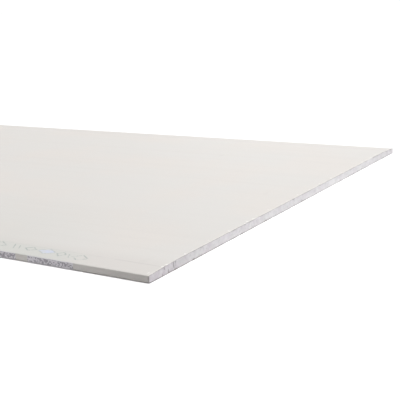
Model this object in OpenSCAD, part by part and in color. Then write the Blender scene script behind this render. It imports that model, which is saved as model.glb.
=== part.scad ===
// Drywall sheet with tapered long edges, lying on its back.
// A gypsum core is bound in two papers. The face paper covers the face, wraps both long
// edges and is turned under the back as a narrow flap. The back paper laps over the flaps.
// The two ends are cut square and show the bare core between the papers.
// X runs along the length, Y across the width, and Z = 0 is the underside of the back paper.

/* [Board] */
// Length, from one cut end to the other
sheet_l = 1800; // [1200:50:3600]
// Width, across the two paper-bound edges
sheet_w = 900; // [400:50:1500]
// Thickness, away from the tapered edges
sheet_t = 12.5; // [9:0.5:19]

/* [Tapered edges] */
// Width of the taper along each long edge
taper_w = 65; // [30:1:80]
// Drop of the face at each long edge
taper_d = 2.4; // [0.5:0.1:3]
// Outer radius of the folds round each long edge
fold_r = 1.2; // [0.8:0.1:3]

/* [Papers] */
// Thickness of the face paper
face_paper_t = 0.3; // [0.2:0.05:0.6]
// Thickness of the back paper
back_paper_t = 0.3; // [0.2:0.05:0.6]
// Width of the face paper's flap under the back, from the long edge
flap_w = 25; // [15:1:28]
// Bare strip of the flap between the back paper and the long edge
back_inset = 8; // [4:1:12]

/* [Hidden] */

// Straight steps in each fold of the face paper
fold_steps = 8;
// Slope of the taper, in degrees
taper_a = atan(taper_d / taper_w);
// Centre of both folds on the right-hand edge, across the width
fold_y = sheet_w / 2 - fold_r;
// Centre height of the fold under the back, and of the fold beside the taper,
// whose round is tangent to the edge and to the sloping face
low_fold_z = back_paper_t + fold_r;
high_fold_z = sheet_t - (taper_w - fold_r) * tan(taper_a) - fold_r / cos(taper_a);
// Where each flap ends, across the width
flap_y = sheet_w / 2 - flap_w;

// Points along an arc about [y, z], from one angle to another
function arc(y, z, r, from, to) =
    [for (i = [0 : fold_steps])
        let (t = from + (to - from) * i / fold_steps) [y + r * cos(t), z + r * sin(t)]];

// The same points in the opposite order
function reversed(path) = [for (i = [len(path) - 1 : -1 : 0]) path[i]];

// The same path on the other side of the board's centre line
function mirrored(path) = [for (p = path) [-p.x, p.y]];

// Right-hand half of the line that the face paper follows, a given depth below its outer
// side: flap end, fold under the back, fold beside the taper, and the crease of the taper
function half_wrap(depth) = concat(
    [[flap_y, back_paper_t + depth]],
    arc(fold_y, low_fold_z, fold_r - depth, -90, 0),
    arc(fold_y, high_fold_z, fold_r - depth, 0, 90 - taper_a),
    [[sheet_w / 2 - taper_w - depth * tan(taper_a / 2), sheet_t - depth]]);

// The whole line, from the right-hand flap over the face to the left-hand flap
function wrap(depth) = concat(half_wrap(depth), reversed(mirrored(half_wrap(depth))));

// A section in the width and thickness, drawn out to the board's length
module along_sheet() {
    rotate([90, 0, 90])
        linear_extrude(height = sheet_l, center = true)
            children();
}

// The core fills the face paper and steps down between the flaps to meet the back paper
module gypsum_core() {
    color("gainsboro")
        along_sheet()
            polygon(concat(wrap(face_paper_t),
                           [[-flap_y, back_paper_t], [flap_y, back_paper_t]]));
}

// One sheet of paper, from flap to flap
module face_paper() {
    color("linen")
        along_sheet()
            polygon(concat(wrap(0), reversed(wrap(face_paper_t))));
}

// Flat sheet under the core that laps over both flaps
module back_paper() {
    color("tan")
        translate([0, 0, back_paper_t / 2])
            cube([sheet_l, sheet_w - 2 * back_inset, back_paper_t], center = true);
}

gypsum_core();
face_paper();
back_paper();
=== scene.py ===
"""Drywall sheet with tapered long edges, lying on its back on a pale studio floor.

The board is 1.8 m long in X, 0.9 m wide in Y and 12.5 mm thick in Z. Its three pieces are the
gypsum core with its two rough cut ends, the ivory face paper that wraps the long edges, and the
grey-brown back paper that laps over the face paper's flaps.
"""

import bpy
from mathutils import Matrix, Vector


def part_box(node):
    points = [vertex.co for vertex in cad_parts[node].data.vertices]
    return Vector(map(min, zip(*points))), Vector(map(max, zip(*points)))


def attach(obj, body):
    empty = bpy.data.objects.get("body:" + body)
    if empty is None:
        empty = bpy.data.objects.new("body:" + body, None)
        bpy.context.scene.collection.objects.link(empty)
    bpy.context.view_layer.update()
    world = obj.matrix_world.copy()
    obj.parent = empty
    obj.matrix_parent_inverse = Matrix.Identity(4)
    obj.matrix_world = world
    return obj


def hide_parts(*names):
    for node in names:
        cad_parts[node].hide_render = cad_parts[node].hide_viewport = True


bl_info = {
    "name": "Drywall Sheet",
    "version": (1, 0, 0),
    "blender": (4, 5, 0),
    "location": "3D View > Sidebar > Drywall",
    "description": "Builds a tapered-edge drywall sheet around its measured frame",
    "category": "Add Mesh",
}

import math

import bmesh
import bpy
from bpy.props import FloatProperty, FloatVectorProperty, IntProperty, PointerProperty
from mathutils import Euler, Matrix, Vector, noise

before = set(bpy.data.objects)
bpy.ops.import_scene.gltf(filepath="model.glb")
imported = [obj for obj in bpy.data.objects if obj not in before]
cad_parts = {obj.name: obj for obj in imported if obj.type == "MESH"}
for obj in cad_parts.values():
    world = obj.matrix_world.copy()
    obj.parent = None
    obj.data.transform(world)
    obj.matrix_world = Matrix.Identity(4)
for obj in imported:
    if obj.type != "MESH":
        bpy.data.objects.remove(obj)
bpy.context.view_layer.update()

# --- The board's section, read from the frame ---------------------------------------------

FACE_LOW, FACE_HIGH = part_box("face_paper")
BACK_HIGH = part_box("back_paper")[1]
CORE_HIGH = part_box("gypsum_core")[1]
# Points closer than this count as one place
TOUCH = 1e-6
HALF_LENGTH = FACE_HIGH.x
HALF_WIDTH = FACE_HIGH.y
TOP = FACE_HIGH.z
PAPER = HALF_WIDTH - CORE_HIGH.y
BACK_PAPER = BACK_HIGH.z

PAPER_POINTS = [v.co.copy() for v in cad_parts["face_paper"].data.vertices]
# Where the taper starts, and where the flap under the back ends, from the middle of the width
CREASE_Y = max(abs(p.y) for p in PAPER_POINTS if p.z > TOP - TOUCH)
FLAP_Y = min(abs(p.y) for p in PAPER_POINTS if p.z < FACE_LOW.z + TOUCH)
# The upright part of the long edge, between its two folds
UPRIGHT = [p.z for p in PAPER_POINTS if abs(p.y) > HALF_WIDTH - TOUCH]
UPRIGHT_LOW, UPRIGHT_HIGH = min(UPRIGHT), max(UPRIGHT)
FOLD_RADIUS = UPRIGHT_LOW - FACE_LOW.z
FOLD_Y = HALF_WIDTH - FOLD_RADIUS
# Slope of the taper: the line from its crease that touches the upper fold
CREASE_TO_FOLD = Vector((FOLD_Y - CREASE_Y, TOP - UPRIGHT_HIGH))
TAPER_SLOPE = math.acos(FOLD_RADIUS / CREASE_TO_FOLD.length) - math.atan2(*CREASE_TO_FOLD)


def face_height(y, depth):
    """Height of the line that runs a given depth below the outside of the face paper."""
    reach = FOLD_RADIUS - depth
    y = abs(y)
    if y > FOLD_Y + reach * math.sin(TAPER_SLOPE):
        return UPRIGHT_HIGH + math.sqrt(max(reach ** 2 - (y - FOLD_Y) ** 2, 0))
    slope = TOP - (y - CREASE_Y) * math.tan(TAPER_SLOPE) - depth / math.cos(TAPER_SLOPE)
    return min(TOP - depth, slope)


def back_height(y, depth):
    """Height of the underside of what lies that depth inside the fold and flap."""
    reach = FOLD_RADIUS - depth
    y = abs(y)
    if y > FOLD_Y:
        return UPRIGHT_LOW - math.sqrt(max(reach ** 2 - (y - FOLD_Y) ** 2, 0))
    return FACE_LOW.z + depth if y > FLAP_Y else FACE_LOW.z


# --- What a user may change ---------------------------------------------------------------


def length(name, description, default):
    return FloatProperty(name=name, description=description, default=default, min=0,
                         unit="LENGTH", precision=5)


def power(name, description, default):
    return FloatProperty(name=name, description=description, default=default, min=0,
                         unit="POWER")


def strength(name, description, default):
    return FloatProperty(name=name, description=description, default=default, min=0)


def angle(name, description, degrees):
    return FloatProperty(name=name, description=description, default=math.radians(degrees),
                         subtype="ANGLE")


def colour(name, description, default):
    return FloatVectorProperty(name=name, description=description, default=default, size=3,
                               min=0, max=1, subtype="COLOR")


class DrywallSizes(bpy.types.PropertyGroup):
    """Fine sizes of the paper and the cut gypsum"""

    column: length("Paper column", "Width of a column of the face paper's mesh", 0.002)
    core_cell: length("Core cell", "Width of a cell of the cut end's mesh", 0.0008)
    core_rows: IntProperty(name="Core rows", description="Cells through the thickness of the core",
                           default=18, min=2)
    grain_depth: length("Grain depth", "Roughness of the cut gypsum", 0.00025)
    pit_depth: length("Pit depth", "Depth of the bubbles that the cut opened", 0.0007)
    pit_size: length("Pit size", "Spacing of the opened bubbles", 0.0055)
    chip_depth: length("Chip depth", "Depth of the chips along the papers", 0.0017)
    lip_depth: length("Lip depth", "How far the core has broken back beside the papers", 0.0008)
    lip_height: length("Lip height", "Height of that broken line", 0.0011)
    nick_depth: length("Nick depth", "Depth of the upright nicks by the corner", 0.0011)
    rag: length("Ragged edge", "How far the cut paper is torn back at most", 0.0009)
    belt_line: length("Belt line", "Distance of the pressed line from the long edge", 0.033)
    belt_rise: length("Belt rise", "How far the paper stands above a straight taper there", 0.0002)


class DrywallColours(bpy.types.PropertyGroup):
    """Colours of the papers, the gypsum and the ink"""

    face: colour("Face paper", "Ivory lining paper", (0.615, 0.585, 0.557))
    face_cool: colour("Face paper, cool", "Cooler clouds in the face paper", (0.605, 0.587, 0.565))
    taper: colour("Taper", "Face paper pressed by the forming belt", (0.573, 0.547, 0.524))
    scuffed: colour("Scuffed paper", "Face paper rubbed pale beside the cut", (0.74, 0.72, 0.68))
    torn: colour("Torn paper", "White inner plies in the torn flecks", (0.90, 0.89, 0.87))
    # Grime, and also the painted shade along the belt line and at the foot of the cut ends
    grime_and_shade: colour("Grime", "Handled corners and scuffs", (0.30, 0.28, 0.28))
    rim: colour("Cut face paper", "Plies at the cut rim of the face paper", (0.26, 0.24, 0.25))
    back_rim: colour("Cut back paper", "Plies at the cut rim of the back paper", (0.15, 0.135, 0.13))
    gypsum: colour("Gypsum", "Cut gypsum", (0.660, 0.645, 0.648))
    gypsum_lilac: colour("Gypsum, lilac", "Lilac clouds in the cut gypsum", (0.645, 0.598, 0.634))
    gypsum_pale: colour("Gypsum, pale", "Crushed, powdery gypsum", (0.76, 0.745, 0.75))
    # Dark specks in the gypsum, and the painted shade in its pits and chips
    gypsum_dark_and_pit_shade: colour("Gypsum, deep", "Inside the pits", (0.46, 0.44, 0.455))
    back: colour("Back paper", "Recycled grey-brown paper", (0.335, 0.290, 0.235))
    back_fibre: colour("Back fibres", "Darker fibres in the back paper", (0.200, 0.165, 0.130))
    # Print wash, and also the painted shade towards the far end of the face
    face_wash_and_shade: colour("Face wash", "Grey-green wash under the face printing", (0.538, 0.538, 0.509))
    edge_wash: colour("Edge wash", "Lilac wash under the edge printing", (0.695, 0.665, 0.735))
    ink: colour("Ink", "Grey printing ink on the long edge", (0.150, 0.140, 0.170))
    face_ink: colour("Face ink", "Grey-green printing ink on the face", (0.22, 0.27, 0.26))
    blue_ink: colour("Blue ink", "Pale blue printing ink", (0.52, 0.58, 0.80))


class DrywallStage(bpy.types.PropertyGroup):
    """Floor, light and camera"""

    floor_size: length("Floor", "Side of the floor", 60.0)
    floor: colour("Floor colour", "Pale studio floor", (0.985, 0.985, 0.985))
    overhead: strength("Overhead light", "Strength of the overhead light", 3.25)
    side_power: power("Side light", "Power of the light off the cut end", 32.0)
    low_power: power("Low light", "Power of the low light on the cut end", 20.0)
    front_power: power("Front light", "Power of the fill on the near edge", 14.0)
    back_power: power("Back light", "Power of the light behind the board", 9.8)
    surround: strength("Surround", "Brightness of the white studio beyond the floor", 1.1)
    lens: FloatProperty(name="Lens", description="Focal length, for a 36 mm sensor",
                        default=73.94, min=1, unit="CAMERA")
    aim: FloatVectorProperty(name="Aim", description="Point of the face in the middle of the view",
                             default=(0.7594, -0.1033, 0.0125), size=3, subtype="XYZ")
    distance: length("Distance", "From the camera to the aim", 1.3681)
    bearing: angle("Bearing", "Way the camera looks, from +X", 122.377)
    drop: angle("Drop", "How far the camera looks down", 13.878)
    roll: angle("Roll", "Tilt of the camera about its line of sight", -2.542)


# --- Shaders ------------------------------------------------------------------------------


class Value:
    """A number socket of a shader. Arithmetic on it adds Math nodes."""

    def __init__(self, shader, socket):
        self.shader = shader
        self.socket = socket

    def maths(self, operation, *terms):
        return self.shader.add("ShaderNodeMath", {"operation": operation}, dict(enumerate(terms)))

    def __add__(self, other):
        return self.maths("ADD", self, other)

    def __sub__(self, other):
        return self.maths("SUBTRACT", self, other)

    def __rsub__(self, other):
        return self.maths("SUBTRACT", other, self)

    def __mul__(self, other):
        return self.maths("MULTIPLY", self, other)

    def __truediv__(self, other):
        return self.maths("DIVIDE", self, other)

    def __mod__(self, other):
        return self.maths("FLOORED_MODULO", self, other)

    def __abs__(self):
        return self.maths("ABSOLUTE", self)

    __radd__ = __add__
    __rmul__ = __mul__

    def floor(self):
        return self.maths("FLOOR", self)

    def smaller(self, other):
        return self.maths("MINIMUM", self, other)

    def step(self, low, high):
        """0 at low and 1 at high, smooth between. low may be the larger of the two."""
        return self.shader.add("ShaderNodeMapRange", {"interpolation_type": "SMOOTHSTEP"},
                               {0: self, 1: low, 2: high})

    def between(self, low, high, soft):
        """1 from low to high and 0 outside, with soft ends."""
        return self.step(low - soft, low + soft) * self.step(high + soft, high - soft)


class Shader:
    """A material on Object coordinates. add() makes every node that isn't arithmetic."""

    def __init__(self, name, specular=0.3):
        self.material = bpy.data.materials.new(name)
        self.material.use_nodes = True
        self.tree = self.material.node_tree
        self.surface = self.tree.nodes["Principled BSDF"]
        self.surface.inputs["Specular IOR Level"].default_value = specular
        self.place = self.add("ShaderNodeTexCoord", output="Object")
        self.x, self.y, self.z = (
            self.add("ShaderNodeSeparateXYZ", None, {0: self.place}, axis) for axis in range(3))

    def add(self, kind, settings=None, inputs=None, output=0):
        node = self.tree.nodes.new(kind)
        for name, value in (settings or {}).items():
            setattr(node, name, value)
        for key, value in (inputs or {}).items():
            self.feed(node.inputs[key], value)
        return Value(self, node.outputs[output])

    def feed(self, socket, value):
        if isinstance(value, Value):
            self.tree.links.new(value.socket, socket)
        else:
            socket.default_value = value

    def mix(self, factor, first, second):
        rgba = [c if isinstance(c, Value) else (*c, 1) for c in (first, second)]
        return self.add("ShaderNodeMix", {"data_type": "RGBA"},
                        {0: factor, 6: rgba[0], 7: rgba[1]}, output=2)

    def noise(self, size, detail=2.0, stretch=(1, 1, 1), shift=0.0):
        """Noise whose features are about that many metres across."""
        place = self.add("ShaderNodeMapping", None,
                         {"Vector": self.place, "Location": (shift,) * 3, "Scale": stretch})
        return self.add("ShaderNodeTexNoise", None,
                        {"Vector": place, "Scale": 1 / size, "Detail": detail})

    def random(self, number):
        """A steady random value from 0 to 1 for each number."""
        return self.add("ShaderNodeTexWhiteNoise", {"noise_dimensions": "1D"}, {"W": number})

    def bump(self, height, distance, strength=1.0):
        return self.add("ShaderNodeBump", None,
                        {"Strength": strength, "Distance": distance, "Height": height})

    def finish(self, **sockets):
        """Sets the surface's sockets. Base_Color stands for Base Color, and so on."""
        for name, value in sockets.items():
            self.feed(self.surface.inputs[name.replace("_", " ")], value)
        return self.material


# Printing repeats this far along the board
PRINT_PITCH = 0.600


def edge_ink(shader, from_end):
    """Runs of coarse inked dots on the near long edge, with a bare gap between them."""
    start, group, gap = 0.122, 0.081, 0.022
    dot, row_height, soft = 0.0019, 0.0018, 0.0002
    run = (from_end - start) % PRINT_PITCH
    bare = run.between(group, group + gap, soft)
    printed = run.between(0, 2 * group + gap, soft) * (1 - bare)
    on_edge = (shader.y + HALF_WIDTH).step(0.0008, 0.0004)
    column = (run / dot).floor()
    row = ((shader.z - UPRIGHT_LOW) / row_height).floor()
    # Each dot draws its own random value, and about half of them are inked
    filled = shader.random(column * 7.3 + row * 31.7).step(0.44, 0.52)
    inside = shader.z.between(UPRIGHT_LOW, UPRIGHT_HIGH + 0.0003, 0.0003)
    worn = shader.noise(0.0012, 3).step(0.30, 0.48)
    return filled * inside * printed * on_edge * worn, printed * on_edge


# Outlined lozenges of the face printing: place along the board, height on the taper, half width
# and half height
LOZENGES = ((0.1265, 0.0200, 0.0130, 0.0085), (0.1600, 0.0215, 0.0075, 0.0075),
            (0.2165, 0.0225, 0.0100, 0.0065), (0.2780, 0.0215, 0.0150, 0.0095))
BLUE_LOZENGE = (0.1870, 0.0225, 0.0165, 0.0088)
# Slanted strokes between them: place, height, lean and half height
STROKES = ((0.1458, 0.0205, 0.6, 0.0065), (0.2380, 0.0225, 0.6, 0.0060),
           (0.2480, 0.0225, 0.6, 0.0080))


def face_marks(shader, from_end, from_edge, above):
    """Outlined lozenges, slanted strokes and one blue lozenge of ink on the near taper."""
    along = from_end % PRINT_PITCH
    line = 0.0010

    def lozenge(centre, height, half_width, half_height):
        across = (along - centre) / half_width
        up = (from_edge - height) / half_height
        return abs(across) + abs(up)

    lines = 0.0
    for centre, height, half_width, half_height in LOZENGES:
        size = half_width * half_height / math.hypot(half_width, half_height)
        rim = abs(lozenge(centre, height, half_width, half_height) - 1)
        lines = rim.step(1.6 * line / size, 0.5 * line / size) + lines
    for start, height, lean, reach in STROKES:
        slant = abs(along - start - (from_edge - height) * lean)
        stroke = abs(from_edge - height).step(reach, reach - line)
        lines = slant.step(1.6 * line, 0.5 * line) * stroke + lines
    blue = lozenge(*BLUE_LOZENGE)
    outline = abs(blue - 1).step(0.20, 0.06) * 0.6
    worn = shader.noise(0.0030, 3).step(0.36, 0.56)
    drawn = (lines + outline).smaller(1.0) * above * worn
    return drawn, blue.step(1.05, 0.90) * above


def face_paper_material(sizes, colours):
    """Ivory paper: clouds and fibres, pressed tapers, painted shade along the belt line and towards
    the far end, wear by the cuts and folds, long edges darker by the cuts, and ink.
    """
    shader = Shader("face_paper", specular=0.2)
    # Distances from the end at +X, the long edge at -Y, either long edge and either cut end
    from_end = HALF_LENGTH - shader.x
    from_edge = shader.y + HALF_WIDTH
    inset = HALF_WIDTH - abs(shader.y)
    to_cut = HALF_LENGTH - abs(shader.x)
    # 1 on the face and 0 on the long edges and below
    above = shader.z.step(UPRIGHT_HIGH, UPRIGHT_HIGH + 0.6 * FOLD_RADIUS)

    # The sheet itself, with the taper, and the line that the forming belt left with painted shade
    # along it
    clouds = shader.noise(0.16, 3, shift=3.0).step(0.35, 0.65)
    tone = shader.mix(clouds, colours.face, colours.face_cool)
    streaks = shader.noise(0.018, 3, stretch=(0.03, 1, 1), shift=7.0).step(0.42, 0.75)
    tone = shader.mix(streaks * 0.25, tone, colours.taper)
    fibres = shader.noise(0.0011, 3, stretch=(0.3, 1, 1), shift=11.0).step(0.50, 0.74)
    tone = shader.mix(fibres * 0.16, tone, colours.taper)
    pressed = inset.step(HALF_WIDTH - CREASE_Y, 0.030) * above
    tone = shader.mix(pressed * 0.75, tone, colours.taper)
    # Painted shade along the belt's crease line, broken in places
    belt = abs(inset - sizes.belt_line).step(0.0024, 0.0004) * above
    broken = shader.noise(0.05, 2, shift=5.0).step(0.30, 0.55)
    tone = shader.mix(belt * broken * 0.16, tone, colours.grime_and_shade)

    # Wear, and the long edges darker by the cuts
    scuffs = shader.noise(0.035, 5, stretch=(1, 0.35, 1), shift=17.0).step(0.66, 0.76)
    tone = shader.mix(scuffs * 0.08, tone, colours.grime_and_shade)
    rubbed = shader.noise(0.02, 3, shift=19.0).step(0.25, 0.55) * to_cut.step(0.0050, 0.0010)
    tone = shader.mix(rubbed * above * 0.35, tone, colours.scuffed)
    flecks = shader.noise(0.009, 3, shift=23.0).step(0.60, 0.64) * to_cut.step(0.0085, 0.0060)
    tone = shader.mix(flecks * above * 0.55, tone, colours.torn)
    fold_low, fold_high = (UPRIGHT_HIGH + part * FOLD_RADIUS for part in (0.2, 0.9))
    worn_fold = shader.noise(0.006, 3, shift=27.0).step(0.48, 0.62)
    worn_fold = worn_fold * shader.z.between(fold_low, fold_high, 0.0002)
    tone = shader.mix(worn_fold * 0.40, tone, colours.scuffed)
    # The long edges darken towards the cut ends
    edges_darker_by_cuts = to_cut.step(0.20, 0.01) * (1 - above)
    tone = shader.mix(edges_darker_by_cuts * 0.33, tone, colours.grime_and_shade)
    # A dark band along each cut end on the long edges
    dark_band_at_cut = to_cut.step(0.0028, 0.0014) * (1 - above)
    tone = shader.mix(dark_band_at_cut * 0.75, tone, colours.grime_and_shade)

    # Washes and inks of the printing, and painted shade towards the far end of the face
    washed = from_end.step(0.10, 0.16) * from_end.step(0.60, 0.40)
    ground = washed * from_edge.step(0.042, 0.026) * above
    tone = shader.mix(ground * 0.80, tone, colours.face_wash_and_shade)
    # Painted shade: the face near the near edge darkens away from the +X end, as the side light
    # falls off
    painted_far_shade = from_end.step(0.12, 0.34) * from_edge.step(0.30, 0.06) * above
    tone = shader.mix(painted_far_shade * 0.30, tone, colours.face_wash_and_shade)
    lines, blue = face_marks(shader, from_end, from_edge, above)
    patchy = shader.noise(0.0060, 3, shift=31.0).step(0.62, 0.40) * 0.7 + 0.3
    tone = shader.mix(blue * patchy * 0.50, tone, colours.blue_ink)
    tone = shader.mix(lines * 0.62, tone, colours.face_ink)
    dots, wash = edge_ink(shader, from_end)
    tone = shader.mix(wash * 0.60, tone, colours.edge_wash)
    tone = shader.mix(dots * 0.66, tone, colours.ink)

    grain = shader.noise(0.0009, 4, stretch=(0.5, 1, 1), shift=2.0)
    cockle = shader.noise(0.03, 2, shift=9.0)
    rough = 0.58 + 0.12 * fibres - 0.06 * pressed
    return shader.finish(Base_Color=tone, Roughness=rough,
                         Normal=shader.bump(grain * 0.00004 + cockle * 0.00010, 1.0))


def rim_material(name, plies, torn_plies):
    """Cut rim of a paper: its plies, with torn fibres that show the outer ply."""
    shader = Shader(name, specular=0.15)
    torn = shader.noise(0.0035, 3, shift=4.0).step(0.52, 0.64)
    tone = shader.mix(torn * 0.7, plies, torn_plies)
    return shader.finish(Base_Color=tone, Roughness=0.95,
                         Normal=shader.bump(shader.noise(0.0006, 3) * 0.0001, 1.0))


def gypsum_material(colours):
    """Cut gypsum: lilac clouds, pale dust, dark specks, painted shade with some dust in the pits,
    dirt by the long edges, and painted contact shade underneath.
    """
    shader = Shader("gypsum", specular=0.15)
    depth = shader.add("ShaderNodeAttribute", {"attribute_name": "crumble"}, output="Fac")
    inset = HALF_WIDTH - abs(shader.y)
    lilac = shader.noise(0.05, 2, shift=15.0).step(0.38, 0.60)
    lilac = lilac * ((shader.y + HALF_WIDTH).step(0.35, 0.08) * 0.6 + 0.4)
    tone = shader.mix(lilac, colours.gypsum, colours.gypsum_lilac)
    dust = shader.noise(0.012, 4, shift=6.0).step(0.40, 0.68)
    tone = shader.mix(dust * 0.55, tone, colours.gypsum_pale)
    flakes = shader.noise(0.0042, 3, shift=21.0)
    tone = shader.mix(flakes.step(0.58, 0.68) * 0.50, tone, colours.gypsum_pale)
    tone = shader.mix(flakes.step(0.42, 0.32) * 0.35, tone, colours.gypsum_dark_and_pit_shade)
    crystals = shader.noise(0.0014, 4, shift=8.0)
    tone = shader.mix(crystals.step(0.58, 0.70) * 0.40, tone, colours.gypsum_pale)
    tone = shader.mix(crystals.step(0.40, 0.30) * 0.30, tone, colours.gypsum_dark_and_pit_shade)
    # Painted shade, with some dust, in the pits, chips, nicks and broken lip: the further the cut
    # lies back, the darker
    tone = shader.mix(depth.step(0.25, 1.0) * 0.75, tone, colours.gypsum_dark_and_pit_shade)
    tone = shader.mix(inset.step(0.200, 0.080) * 0.15, tone, colours.grime_and_shade)
    # Painted contact shade along the foot of the cut end
    tone = shader.mix(shader.z.step(0.0018, 0.0006) * 0.16, tone, colours.grime_and_shade)
    fine = shader.noise(0.0007, 4, shift=1.0)
    return shader.finish(Base_Color=tone, Roughness=0.95,
                         Normal=shader.bump(fine * 0.0002, 1.0))


def back_paper_material(colours):
    """Grey-brown recycled paper, with fibres, flecks and a faint ridge over each flap's end."""
    shader = Shader("back_paper", specular=0.2)
    clouds = shader.noise(0.05, 4, shift=5.0).step(0.35, 0.65)
    tone = shader.mix(clouds * 0.22, colours.back, colours.back_fibre)
    fibres = shader.noise(0.0016, 4, stretch=(0.25, 1, 1), shift=3.0).step(0.52, 0.70)
    tone = shader.mix(fibres * 0.45, tone, colours.back_fibre)
    flecks = shader.noise(0.004, 2, stretch=(0.5, 1, 1), shift=13.0).step(0.70, 0.76)
    tone = shader.mix(flecks * 0.5, tone, colours.grime_and_shade)
    lap = abs(abs(shader.y) - FLAP_Y).step(0.0020, 0.0004)
    grain = shader.noise(0.0012, 4, stretch=(0.5, 1, 1))
    height = grain * 0.00008 + lap * 0.00010
    return shader.finish(Base_Color=tone, Roughness=0.9 + 0.05 * fibres,
                         Normal=shader.bump(height, 1.0))


# --- Pieces -------------------------------------------------------------------------------


def place_piece(name, bm, node, slot, *materials):
    """Turns a bmesh into the piece that stands for a node of the frame."""
    mesh = bpy.data.meshes.new(name)
    bm.to_mesh(mesh)
    bm.free()
    for material in materials:
        mesh.materials.append(material)
    piece = bpy.data.objects.new(name, mesh)
    bpy.context.scene.collection.objects.link(piece)
    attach(piece, "root")
    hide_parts(node)
    return piece


def evenly(start, end, step):
    """Stations from start up to end, no more than a step apart, both included."""
    count = max(1, math.ceil((end - start) / step - TOUCH))
    return [start + (end - start) * i / count for i in range(count + 1)]


def end_stations():
    """Stations along the length, close together near the cut ends."""
    steps = [0.0006, 0.0015, 0.003, 0.006, 0.012, 0.025, 0.05, 0.1, 0.2]
    near = [HALF_LENGTH - step for step in steps]
    return [-x for x in near] + evenly(-near[-1], near[-1], 0.25)[1:-1] + near[::-1]


def cut_at(bm, stations, axis):
    """Cuts the whole mesh with planes square to an axis."""
    normal = Vector((0, 0, 0))
    normal[axis] = 1
    for station in stations:
        bmesh.ops.bisect_plane(bm, geom=bm.verts[:] + bm.edges[:] + bm.faces[:], dist=1e-7,
                               plane_co=normal * station, plane_no=normal)


# Upright nicks near one corner of each end: distance from the long edge, half width, and the
# heights between which each one runs
NICKS = ((0.0296, 0.0009, 0.0, 0.0030), (0.0340, 0.0009, 0.0075, TOP),
         (0.0430, 0.0009, 0.0, 0.0050), (0.0554, 0.0010, 0.0030, TOP),
         (0.0600, 0.0007, 0.0050, TOP))
# How strongly the core's rows crowd towards the papers, from 0, evenly spaced, to 1
CROWDING = 0.6
# Least depth of the cut gypsum below the square end
LEAST_DEPTH = 0.00015
# Above this height the chips and the lip belong to the face paper's side
MIDDLE = 0.006


def crumble(y, z, side, sizes):
    """How far the cut gypsum lies back from the square end, at a point of the end."""
    grain_size, pit_patch, chip_length, chip_height, lip_length = 0.0045, 0.021, 0.011, 0.0035, 0.016
    lower_lip = 0.3
    salt = Vector((side * 3.7, 0, 0))
    spot = Vector((0, y, z))
    layer = (z > MIDDLE) * 5.0
    grain = noise.fractal(spot / grain_size + salt, 0.8, 2.1, 4)
    nearest = noise.voronoi(spot / sizes.pit_size + salt)[0][0]
    pitted = max(0.0, noise.noise(spot / pit_patch + salt) + 0.35)
    pit = max(0.0, 1 - nearest / 0.30) * pitted

    from_back, from_face = z - back_height(y, PAPER), face_height(y, PAPER) - z
    to_paper = min(from_back, from_face)
    chipping = max(0.0, noise.noise(Vector((side * 9.1, y / chip_length, layer))) - 0.18)
    chip = chipping * max(0.0, 1 - to_paper / chip_height)
    broken = max(0.0, 0.6 + noise.noise(Vector((side * 6.3, y / lip_length, layer))))
    lip = broken * max(0.0, 1 - to_paper / sizes.lip_height)
    if from_face >= from_back:
        lip *= lower_lip

    from_corner = y + HALF_WIDTH if side > 0 else HALF_WIDTH - y
    nick = 0.0
    for place, width, foot, head in NICKS:
        nick = max(nick, max(0.0, 1 - abs(from_corner - place) / width) * (foot < z < head))
    return (LEAST_DEPTH + sizes.grain_depth * (0.5 + 0.5 * grain) + sizes.pit_depth * pit
            + sizes.chip_depth * chip + sizes.nick_depth * nick + sizes.lip_depth * lip)


class DRYWALL_OT_gypsum_core(bpy.types.Operator):
    """Casts the gypsum core, with pits, chips and nicks in its two cut ends"""

    bl_idname = "drywall.gypsum_core"
    bl_label = "Gypsum Core"
    bl_options = {"REGISTER", "UNDO"}

    def execute(self, context):
        sizes, colours = context.scene.drywall_sizes, context.scene.drywall_colours
        reach = FOLD_RADIUS - PAPER
        # Stations round a fold, by the angle turned, closer together as it steepens
        fold = [FOLD_Y + reach * math.sin(math.radians(a)) for a in (18, 36, 52, 66, 78, 90)]
        across = [-y for y in fold[::-1]] + evenly(-FOLD_Y, FOLD_Y, sizes.core_cell) + fold
        columns, rows = len(across) - 1, sizes.core_rows

        bm = bmesh.new()
        bmesh.ops.create_grid(bm, x_segments=columns, y_segments=rows, size=0.5)
        for v in bm.verts:
            y = across[round((v.co.x + 0.5) * columns)]
            low, high = back_height(y, PAPER), face_height(y, PAPER)
            # Rows lie closer together beside the papers than in the middle
            even = v.co.y + 0.5
            share = even - CROWDING * math.sin(math.tau * even) / math.tau
            v.co = Vector((HALF_LENGTH, y, low + (high - low) * share))
        made = bmesh.ops.extrude_face_region(bm, geom=bm.faces[:])["geom"]
        far = [v for v in made if isinstance(v, bmesh.types.BMVert)]
        bmesh.ops.translate(bm, verts=far, vec=(-2 * HALF_LENGTH, 0, 0))
        bmesh.ops.recalc_face_normals(bm, faces=bm.faces[:])

        # The depth, kept for the painted shade in the gypsum's pits
        depth_layer = bm.verts.layers.float.new("crumble")
        full = sizes.pit_depth + sizes.grain_depth
        for v in bm.verts:
            side = 1 if v.co.x > 0 else -1
            depth = crumble(v.co.y, v.co.z, side, sizes)
            v[depth_layer] = min(1.0, depth / full)
            v.co.x -= side * depth
        place_piece("gypsum_core_cut", bm, "gypsum_core", "gypsum", gypsum_material(colours))
        return {"FINISHED"}


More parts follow.
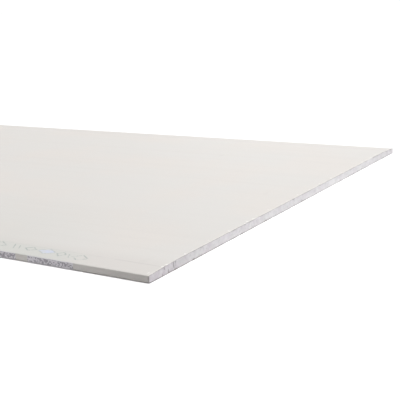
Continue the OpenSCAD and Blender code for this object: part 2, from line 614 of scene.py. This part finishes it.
class DRYWALL_OT_face_paper(bpy.types.Operator):
    """Wraps the ivory face paper over the face, round both long edges and under the back"""

    bl_idname = "drywall.face_paper"
    bl_label = "Face Paper"
    bl_options = {"REGISTER", "UNDO"}

    def outline(self, bm):
        """The strips of the sheet before its folds are rounded, one along each straight run."""
        edge_z = TOP - (HALF_WIDTH - CREASE_Y) * math.tan(TAPER_SLOPE)
        half = [(FLAP_Y, FACE_LOW.z), (HALF_WIDTH, FACE_LOW.z), (HALF_WIDTH, edge_z),
                (CREASE_Y, TOP)]
        path = half + [(-y, z) for y, z in half[::-1]]
        verts = [bm.verts.new((-HALF_LENGTH, y, z)) for y, z in path]
        edges = [bm.edges.new(pair) for pair in zip(verts, verts[1:])]
        made = bmesh.ops.extrude_edge_only(bm, edges=edges)["geom"]
        moved = [v for v in made if isinstance(v, bmesh.types.BMVert)]
        bmesh.ops.translate(bm, verts=moved, vec=(2 * HALF_LENGTH, 0, 0))

    def round_folds(self, bm):
        """Rounds the two folds of each long edge to the fold's radius."""
        for above, turn in ((False, math.pi / 2), (True, math.pi / 2 - TAPER_SLOPE)):
            corners = [e for e in bm.edges
                       if all(abs(abs(v.co.y) - HALF_WIDTH) < TOUCH and (v.co.z > TOP / 2) == above
                              for v in e.verts)
                       and abs(e.verts[0].co.x - e.verts[1].co.x) > HALF_LENGTH]
            bmesh.ops.bevel(bm, geom=corners, offset=FOLD_RADIUS * math.tan(turn / 2), segments=8,
                            offset_type="OFFSET", affect="EDGES", profile=0.5, material=-1)

    def columns(self, bm, width):
        """Splits the wide strips into columns along the board."""
        for face in bm.faces[:]:
            ends = [e for e in face.edges if abs(e.verts[0].co.x - e.verts[1].co.x) < TOUCH]
            cuts = math.ceil(ends[0].calc_length() / width) - 1
            if cuts > 0:
                bmesh.ops.subdivide_edges(bm, edges=ends, cuts=cuts, use_grid_fill=True)

    def execute(self, context):
        sizes, colours = context.scene.drywall_sizes, context.scene.drywall_colours
        bm = bmesh.new()
        self.outline(bm)
        self.round_folds(bm)
        self.columns(bm, sizes.column)
        cut_at(bm, end_stations(), 0)
        bmesh.ops.recalc_face_normals(bm, faces=bm.faces[:])
        if sum(f.normal.z for f in bm.faces if f.calc_center_median().z > TOP - 1e-4) < 0:
            bmesh.ops.reverse_faces(bm, faces=bm.faces[:])

        taper = HALF_WIDTH - CREASE_Y
        for v in bm.verts:
            inset = HALF_WIDTH - abs(v.co.y)
            if v.co.z > UPRIGHT_HIGH + 0.7 * FOLD_RADIUS and FOLD_RADIUS < inset < taper:
                rise = min((taper - inset) / (taper - sizes.belt_line), inset / sizes.belt_line)
                v.co.z += sizes.belt_rise * rise
            side = 1 if v.co.x > 0 else -1
            if abs(v.co.x) > HALF_LENGTH - TOUCH:
                spot = Vector((side * 5.3, v.co.y / 0.009, v.co.z / 0.009))
                torn = max(0.0, noise.noise(spot) - 0.05) + 0.25 * abs(noise.noise(spot * 4.1))
                v.co.x -= side * sizes.rag * min(1.0, torn)
        bmesh.ops.solidify(bm, geom=bm.faces[:], thickness=PAPER)
        bmesh.ops.recalc_face_normals(bm, faces=bm.faces[:])
        for face in bm.faces:
            face.smooth = True
            face.material_index = 1 if abs(face.normal.x) > 0.7 else 0
        for edge in bm.edges:
            edge.smooth = edge.is_manifold and edge.calc_face_angle(0) < math.radians(50)
        place_piece("face_paper_sheet", bm, "face_paper", "face_paper",
                    face_paper_material(sizes, colours),
                    rim_material("face_paper_rim", colours.rim, colours.face))
        return {"FINISHED"}


class DRYWALL_OT_back_paper(bpy.types.Operator):
    """Lays the grey-brown back paper under the core, over the face paper's flaps"""

    bl_idname = "drywall.back_paper"
    bl_label = "Back Paper"
    bl_options = {"REGISTER", "UNDO"}

    def execute(self, context):
        sizes, colours = context.scene.drywall_sizes, context.scene.drywall_colours
        bm = bmesh.new()
        bmesh.ops.create_cube(bm, size=1)
        bmesh.ops.transform(bm, verts=bm.verts[:], matrix=Matrix.Diagonal(
            (2 * HALF_LENGTH, 2 * BACK_HIGH.y, BACK_PAPER, 1)))
        bmesh.ops.translate(bm, verts=bm.verts[:], vec=(0, 0, BACK_PAPER / 2))
        cut_at(bm, evenly(-BACK_HIGH.y, BACK_HIGH.y, 0.004)[1:-1], 1)
        cut_at(bm, end_stations(), 0)
        for v in bm.verts:
            for axis, limit in ((0, HALF_LENGTH), (1, BACK_HIGH.y)):
                if abs(v.co[axis]) > limit - TOUCH:
                    along = v.co[1 - axis]
                    side = math.copysign(1, v.co[axis])
                    spot = Vector((side * 2.9 + axis * 7.7, along / 0.012, 0))
                    v.co[axis] -= side * sizes.rag * min(1.0, max(0.0, noise.noise(spot)) + 0.1)
        bm.normal_update()
        for face in bm.faces:
            face.material_index = 1 if abs(face.normal.z) < 0.5 else 0
        place_piece("back_paper_sheet", bm, "back_paper", "back_paper",
                    back_paper_material(colours),
                    rim_material("back_paper_rim", colours.back_rim, colours.back))
        return {"FINISHED"}


# --- Stage --------------------------------------------------------------------------------


class DRYWALL_OT_stage(bpy.types.Operator):
    """Sets out the pale floor, the soft studio light and the camera"""

    bl_idname = "drywall.stage"
    bl_label = "Stage"
    bl_options = {"REGISTER", "UNDO"}

    def floor(self, stage):
        bm = bmesh.new()
        bmesh.ops.create_grid(bm, x_segments=1, y_segments=1, size=stage.floor_size / 2)
        mesh = bpy.data.meshes.new("floor")
        bm.to_mesh(mesh)
        bm.free()
        shader = Shader("floor", specular=0.0)
        mesh.materials.append(shader.finish(Base_Color=(*stage.floor, 1), Roughness=1.0))
        floor = bpy.data.objects.new("floor", mesh)
        bpy.context.scene.collection.objects.link(floor)

    def light(self, name, kind, location, aim, **settings):
        data = bpy.data.lights.new(name, kind)
        for key, value in settings.items():
            setattr(data, key, value)
        lamp = bpy.data.objects.new(name, data)
        bpy.context.scene.collection.objects.link(lamp)
        lamp.location = location
        lamp.rotation_euler = (Vector(aim) - Vector(location)).to_track_quat("-Z", "Y").to_euler()

    def camera(self, stage):
        data = bpy.data.cameras.new("camera")
        data.lens = stage.lens
        data.sensor_width = 36
        data.clip_start = 0.01
        data.clip_end = 200
        camera = bpy.data.objects.new("camera", data)
        bpy.context.scene.collection.objects.link(camera)
        tilt = Euler((math.pi / 2 - stage.drop, 0, stage.bearing - math.pi / 2)).to_matrix()
        turn = Euler((0, 0, stage.roll)).to_matrix()
        camera.rotation_euler = (tilt @ turn).to_euler()
        camera.location = Vector(stage.aim) + tilt @ Vector((0, 0, stage.distance))
        bpy.context.scene.camera = camera

    def execute(self, context):
        stage = context.scene.drywall_stage
        self.floor(stage)
        self.light("overhead", "SUN", (0, 0.25, 3), (0, 0, 0), energy=stage.overhead,
                   angle=math.radians(24))
        self.light("side", "AREA", (3.3, 1.75, 1.5), (0.6, 0.15, 0), energy=stage.side_power,
                   shape="DISK", size=1.2, color=(0.94, 0.97, 1.0))
        self.light("low", "AREA", (3.7, 0.60, 0.5), (HALF_LENGTH, 0, 0), energy=stage.low_power,
                   shape="DISK", size=0.8)
        self.light("front", "AREA", (-1.2, -3.0, 0.4), (0.5, -0.45, 0), energy=stage.front_power,
                   shape="DISK", size=1.2)
        self.light("back", "AREA", (-0.6, 2.75, 1.6), (-0.3, 0.35, 0), energy=stage.back_power,
                   shape="DISK", size=1.5)
        world = bpy.data.worlds.new("studio")
        world.use_nodes = True
        background = world.node_tree.nodes["Background"]
        background.inputs["Color"].default_value = (1, 1, 1, 1)
        background.inputs["Strength"].default_value = stage.surround
        world.cycles_visibility.diffuse = False
        context.scene.world = world
        context.scene.view_settings.view_transform = "Standard"
        self.camera(stage)
        return {"FINISHED"}


class VIEW3D_PT_drywall(bpy.types.Panel):
    """Lists the board's pieces and the sizes and colours they are made with"""

    bl_label = "Drywall Sheet"
    bl_space_type = "VIEW_3D"
    bl_region_type = "UI"
    bl_category = "Drywall"

    def draw(self, context):
        for operator in OPERATORS:
            self.layout.operator(operator.bl_idname)
        scene = context.scene
        for group in (scene.drywall_sizes, scene.drywall_colours, scene.drywall_stage):
            box = self.layout.box()
            for name in group.__annotations__:
                box.prop(group, name)


OPERATORS = (DRYWALL_OT_gypsum_core, DRYWALL_OT_face_paper, DRYWALL_OT_back_paper, DRYWALL_OT_stage)
CLASSES = (DrywallSizes, DrywallColours, DrywallStage, *OPERATORS, VIEW3D_PT_drywall)


def register():
    for cls in CLASSES:
        bpy.utils.register_class(cls)
    bpy.types.Scene.drywall_sizes = PointerProperty(type=DrywallSizes)
    bpy.types.Scene.drywall_colours = PointerProperty(type=DrywallColours)
    bpy.types.Scene.drywall_stage = PointerProperty(type=DrywallStage)


def unregister():
    del bpy.types.Scene.drywall_stage
    del bpy.types.Scene.drywall_colours
    del bpy.types.Scene.drywall_sizes
    for cls in reversed(CLASSES):
        bpy.utils.unregister_class(cls)


def main():
    register()
    bpy.ops.drywall.gypsum_core()
    bpy.ops.drywall.face_paper()
    bpy.ops.drywall.back_paper()
    bpy.ops.drywall.stage()


if __name__ == "__main__":
    main()
